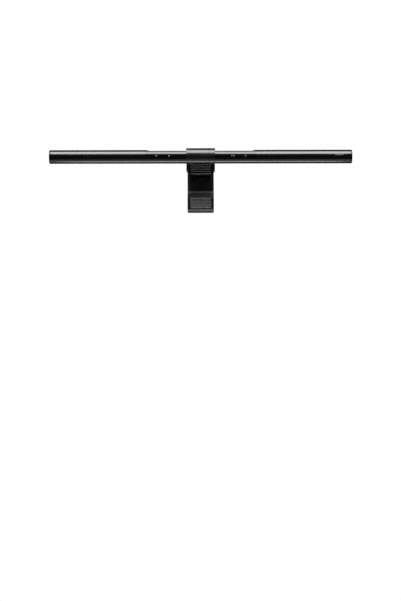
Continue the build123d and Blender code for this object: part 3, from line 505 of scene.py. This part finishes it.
def spring_line():
    """Centreline of the spring (front leg, coil from -X to +X, rear leg), and half the coil's length."""
    half = SPRING_TURNS * SPRING_PITCH / 2
    steps = round(SPRING_TURNS * STEPS_PER_TURN)
    coil = []
    for index in range(steps + 1):
        turn = 2 * math.pi * SPRING_TURNS * index / steps
        offset = Vector((0, math.sin(turn), math.cos(turn))) * SPRING_RADIUS
        coil.append(Vector((-half + 2 * half * index / steps, HINGE_AXIS.y, HINGE_AXIS.z)) + offset)
    first = (coil[0] - coil[1]).normalized()
    last = (coil[-1] - coil[-2]).normalized()
    shares = (0.25, 0.5, 0.75, 1.0)
    front = [coil[0] + first * (SPRING_FRONT_LEG * share) for share in reversed(shares)]
    rear = [coil[-1] + last * (SPRING_REAR_LEG * share) for share in shares]
    return front + coil + rear, half


def add_spring():
    """The torsion spring, coiled round the hinge with its two legs, in place of the plain CAD spring."""
    points, half = spring_line()
    shape = bmesh.new()
    skin(shape, tube_rings(points, SPRING_WIRE, WIRE_SIDES))
    steel = FINISHES["spring_steel"]
    spring = add_piece("spring_coil", shape, steel, None, ("torsion_spring",))
    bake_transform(spring)


# ---------------------------------------------------------------- rubber pads
RIB_STEPS = 8  # faces across each rib
CORNER_ANGLES = (0, 22.5, 45, 67.5, 90)  # degrees, of the sections that round a pad's end


def pad_profile(low, high, rib_pitch, rib_depth):
    """Closed outline (across, up) of a pad with half-round ribs along its low side."""
    width = high[0] - low[0]
    ribs = round(width / rib_pitch)
    pitch = width / ribs
    points = []
    for rib in range(ribs):
        for step in range(RIB_STEPS):
            share = step / RIB_STEPS
            depth = rib_depth * (1 - math.sin(math.pi * share))
            points.append((low[0] + (rib + share) * pitch, low[1] + depth))
    points.append((high[0], low[1] + rib_depth))
    points += [(high[0], high[1]), (low[0], high[1])]
    return points


def ribbed_pad(shape, low, high, across, up, rib_pitch, rib_depth, corner):
    """A ribbed pad that fills a node's box. across and up are the axes of its section; it runs along X."""
    profile = pad_profile((low[across], low[up]), (high[across], high[up]), rib_pitch, rib_depth)
    middle = (low[across] + high[across]) / 2
    half = (high[across] - low[across]) / 2
    turns = [math.radians(angle) for angle in CORNER_ANGLES]
    ends = [(corner * (1 - math.cos(turn)), 1 - corner * (1 - math.sin(turn)) / half) for turn in turns]
    sections = [(low.x + inset, squeeze) for inset, squeeze in ends]
    sections += [(high.x - inset, squeeze) for inset, squeeze in reversed(ends)]
    rings = []
    for along, squeeze in sections:
        ring = []
        for place, height in profile:
            point = Vector((along, 0, 0))
            point[across] = middle + (place - middle) * squeeze
            point[up] = height
            ring.append(point)
        rings.append(ring)
    skin(shape, rings)


def add_pads():
    """Ribbed rubber in place of the plain pads on the toe and under the seat."""
    pads = (
        # node, body, axes across and up, pitch and depth of the ribs, radius of the corners
        ("rear_pad", "rear_arm", 2, 1, 2.1 * MM, 0.6 * MM, 2.0 * MM),
        ("seat_pad", "clip", 1, 2, 1.5 * MM, 0.35 * MM, 1.5 * MM),
    )
    for node, body, across, up, rib_pitch, rib_depth, corner in pads:
        shape = bmesh.new()
        low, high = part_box(node)
        ribbed_pad(shape, low, high, across, up, rib_pitch, rib_depth, corner)
        add_piece(node + "_ribbed", shape, FINISHES["black_rubber"], body, (node,))


# ---------------------------------------------------------------- light-emitting diodes and contacts
LED_WIDTH = 3.0 * MM
LEDS_IN_ROW = 36
WINDOW_INSET = 0.25 * MM
WINDOW_RISE = 0.04 * MM
WINDOW_EDGE = 0.032 * MM
CONTACT_COUNT = 12
CONTACT_PITCH = 0.5 * MM
CONTACT_SIZE = (0.26 * MM, 4.4 * MM, 0.05 * MM)
CONTACT_EDGE = 0.015 * MM
CONTACT_SETBACK = 0.5 * MM


def add_led_windows():
    """A phosphor window on the front face of every LED."""
    for name, slot in (("warm_leds", "warm_phosphor"), ("cool_leds", "cool_phosphor")):
        low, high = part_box(name)
        pitch = (high.x - low.x - LED_WIDTH) / (LEDS_IN_ROW - 1)
        size = (LED_WIDTH - 2 * WINDOW_INSET, 2 * WINDOW_RISE, high.z - low.z - 2 * WINDOW_INSET)
        shape = bmesh.new()
        for index in range(LEDS_IN_ROW):
            centre = (low.x + LED_WIDTH / 2 + index * pitch, low.y, (low.z + high.z) / 2)
            rounded_box(shape, centre, size, WINDOW_EDGE)
        add_piece(name[:4] + "_led_windows", shape, FINISHES[slot], "lamp")


def add_port_contacts():
    """Two rows of gilt contacts on the receptacle's tongue."""
    low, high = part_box("usb_c_tongue")
    shape = bmesh.new()
    for face in (low.z, high.z):
        for index in range(CONTACT_COUNT):
            along = (index - (CONTACT_COUNT - 1) / 2) * CONTACT_PITCH
            centre = (along, high.y - CONTACT_SETBACK - CONTACT_SIZE[1] / 2, face)
            rounded_box(shape, centre, CONTACT_SIZE, CONTACT_EDGE)
    add_piece("port_contacts", shape, GOLD, "lamp")


# ---------------------------------------------------------------- small parts on the control board
LEG_PITCH = 0.8 * MM
LEG_SIZE = (0.9 * MM, 0.32 * MM, 0.16 * MM)
LEG_REACH = 0.27 * MM  # of a leg's middle from the side of its chip
LEG_EDGE = 0.04 * MM
SMALL_PART = (1.6 * MM, 0.8 * MM, 0.45 * MM)
SOLDER = (0.3 * MM, 0.864 * MM, 0.504 * MM)
SMALL_PART_EDGE = 0.05 * MM
SOLDER_EDGE = 0.06 * MM
SMALL_PARTS_INSET = 1.2 * MM  # of the row from the front edge of the board
SMALL_PARTS_START = -62.0 * MM
SMALL_PARTS_PITCH = 3.1 * MM
SMALL_PARTS_COUNT = 38
CHIP_SIZES = (4.0 * MM, 5.0 * MM, 3.0 * MM)
CHIP_PLACES = (-16.0 * MM, 18.0 * MM, 52.0 * MM)


def add_chip_legs():
    """Rows of soldered legs on both sides of each chip."""
    low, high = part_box("control_chips")
    middle = (low.y + high.y) / 2
    shape = bmesh.new()
    for place, size in zip(CHIP_PLACES, CHIP_SIZES):
        count = int(size / LEG_PITCH) - 1
        for side in (-1, 1):
            for index in range(count):
                across = middle + (index - (count - 1) / 2) * LEG_PITCH
                centre = (place + side * (size / 2 + LEG_REACH), across, low.z + LEG_SIZE[2] / 2)
                rounded_box(shape, centre, LEG_SIZE, LEG_EDGE)
    add_piece("chip_legs", shape, FINISHES["plated_steel"], "lamp")


def add_board_parts():
    """A row of resistors and small capacitors along the front of the control board, with soldered ends."""
    board_low, board_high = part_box("control_board")
    across = board_low.y + SMALL_PARTS_INSET
    bodies = bmesh.new()
    ends = bmesh.new()
    for index in range(SMALL_PARTS_COUNT):
        along = SMALL_PARTS_START + index * SMALL_PARTS_PITCH
        height = board_high.z + SMALL_PART[2] / 2
        rounded_box(bodies, (along, across, height), SMALL_PART, SMALL_PART_EDGE)
        for side in (-1, 1):
            place = (along + side * SMALL_PART[0] / 2, across, height)
            rounded_box(ends, place, SOLDER, SOLDER_EDGE)
    add_piece("board_resistors", bodies, FINISHES["chip_plastic"], "lamp")
    add_piece("board_solder", ends, FINISHES["plated_steel"], "lamp")


# ---------------------------------------------------------------- stage, light and camera
CAMERA_PLACE = (-0.0006, -2.02, -0.1936)
CAMERA_LENS = 80.4
CAMERA_ROLL = 0.107  # degrees
CAMERA_SENSOR = 36.0
FLOOR_Z = -0.42
FLOOR_RADIUS = 1.05
FLOOR_SHADE = 0.03
ROOM_SHADE = 0.02
SOFTBOXES = {
    # name: (place, target, size, radiance)
    "key_light": ((0, -0.47, 0.89), (0, -0.47, 0), (1.7, 0.86), 7.4),
    "under_light": ((0, 0.01, -0.4), (0, 0.01, 0), (0.5, 0.11), 4.2),
    "under_fill": ((0, -0.12, -0.41), (0, -0.12, 0), (1.4, 0.44), 0.45),
    "back_fill": ((0, 1.5, 0.35), (0, 0, 0), (2.4, 1.3), 0.25),
    "left_light": ((-1.5, 0.2, 0.5), (0, 0, 0), (0.7, 0.9), 1.2),
    "right_light": ((1.5, 0.2, 0.5), (0, 0, 0), (0.7, 0.9), 1.2),
}


def add_floor():
    """A round floor that looks white, casts back little light, and is see-through from below."""
    shape = bmesh.new()
    bmesh.ops.create_circle(shape, cap_ends=True, segments=96, radius=FLOOR_RADIUS)
    mesh = bpy.data.meshes.new("floor")
    shape.to_mesh(mesh)
    shape.free()
    floor = bpy.data.objects.new("floor", mesh)
    floor.location.z = FLOOR_Z
    bpy.context.scene.collection.objects.link(floor)
    material = bpy.data.materials.new("pale_floor")
    material.use_nodes = True
    nodes = material.node_tree.nodes
    links = material.node_tree.links
    nodes.clear()
    pale = nodes.new("ShaderNodeBsdfDiffuse")
    pale.inputs["Color"].default_value = (*grey(FLOOR_SHADE), 1)
    bright = nodes.new("ShaderNodeEmission")
    path = nodes.new("ShaderNodeLightPath")
    seen = nodes.new("ShaderNodeMixShader")
    links.new(path.outputs["Is Camera Ray"], seen.inputs[0])
    links.new(pale.outputs[0], seen.inputs[1])
    links.new(bright.outputs[0], seen.inputs[2])
    clear = nodes.new("ShaderNodeBsdfTransparent")
    side = nodes.new("ShaderNodeNewGeometry")
    either = nodes.new("ShaderNodeMixShader")
    links.new(side.outputs["Backfacing"], either.inputs[0])
    links.new(seen.outputs[0], either.inputs[1])
    links.new(clear.outputs[0], either.inputs[2])
    output = nodes.new("ShaderNodeOutputMaterial")
    links.new(either.outputs[0], output.inputs["Surface"])
    mesh.materials.append(material)


def add_softbox(name, place, target, size, radiance):
    """A rectangular light of a given radiance that faces a target. The camera doesn't see it."""
    light = bpy.data.lights.new(name, "AREA")
    light.shape = "RECTANGLE"
    light.size = size[0]
    light.size_y = size[1]
    light.energy = radiance * math.pi * size[0] * size[1]
    box = bpy.data.objects.new(name, light)
    box.location = place
    box.rotation_euler = (Vector(target) - Vector(place)).to_track_quat("-Z", "Y").to_euler()
    box.visible_camera = False
    bpy.context.scene.collection.objects.link(box)


def add_world():
    """A white room to look at, and a dark one to reflect."""
    world = bpy.data.worlds.new("studio")
    world.use_nodes = True
    nodes = world.node_tree.nodes
    links = world.node_tree.links
    seen = nodes["Background"]
    seen.inputs["Color"].default_value = (1, 1, 1, 1)
    dark = nodes.new("ShaderNodeBackground")
    dark.inputs["Color"].default_value = (*grey(ROOM_SHADE), 1)
    path = nodes.new("ShaderNodeLightPath")
    either = nodes.new("ShaderNodeMixShader")
    links.new(path.outputs["Is Camera Ray"], either.inputs[0])
    links.new(dark.outputs[0], either.inputs[1])
    links.new(seen.outputs[0], either.inputs[2])
    links.new(either.outputs[0], nodes["World Output"].inputs["Surface"])
    bpy.context.scene.world = world
    bpy.context.scene.view_settings.view_transform = "Standard"


def add_camera():
    camera = bpy.data.objects.new("camera", bpy.data.cameras.new("camera"))
    camera.data.lens = CAMERA_LENS
    camera.data.sensor_width = CAMERA_SENSOR
    camera.location = CAMERA_PLACE
    camera.rotation_euler = (math.radians(90), math.radians(CAMERA_ROLL), 0)
    bpy.context.scene.collection.objects.link(camera)
    bpy.context.scene.camera = camera


add_camera()
add_world()
add_floor()
for light_name, settings in SOFTBOXES.items():
    add_softbox(light_name, *settings)

finish_cad_nodes()
add_marks()
add_spring()
add_pads()
add_led_windows()
add_port_contacts()
add_chip_legs()
add_board_parts()
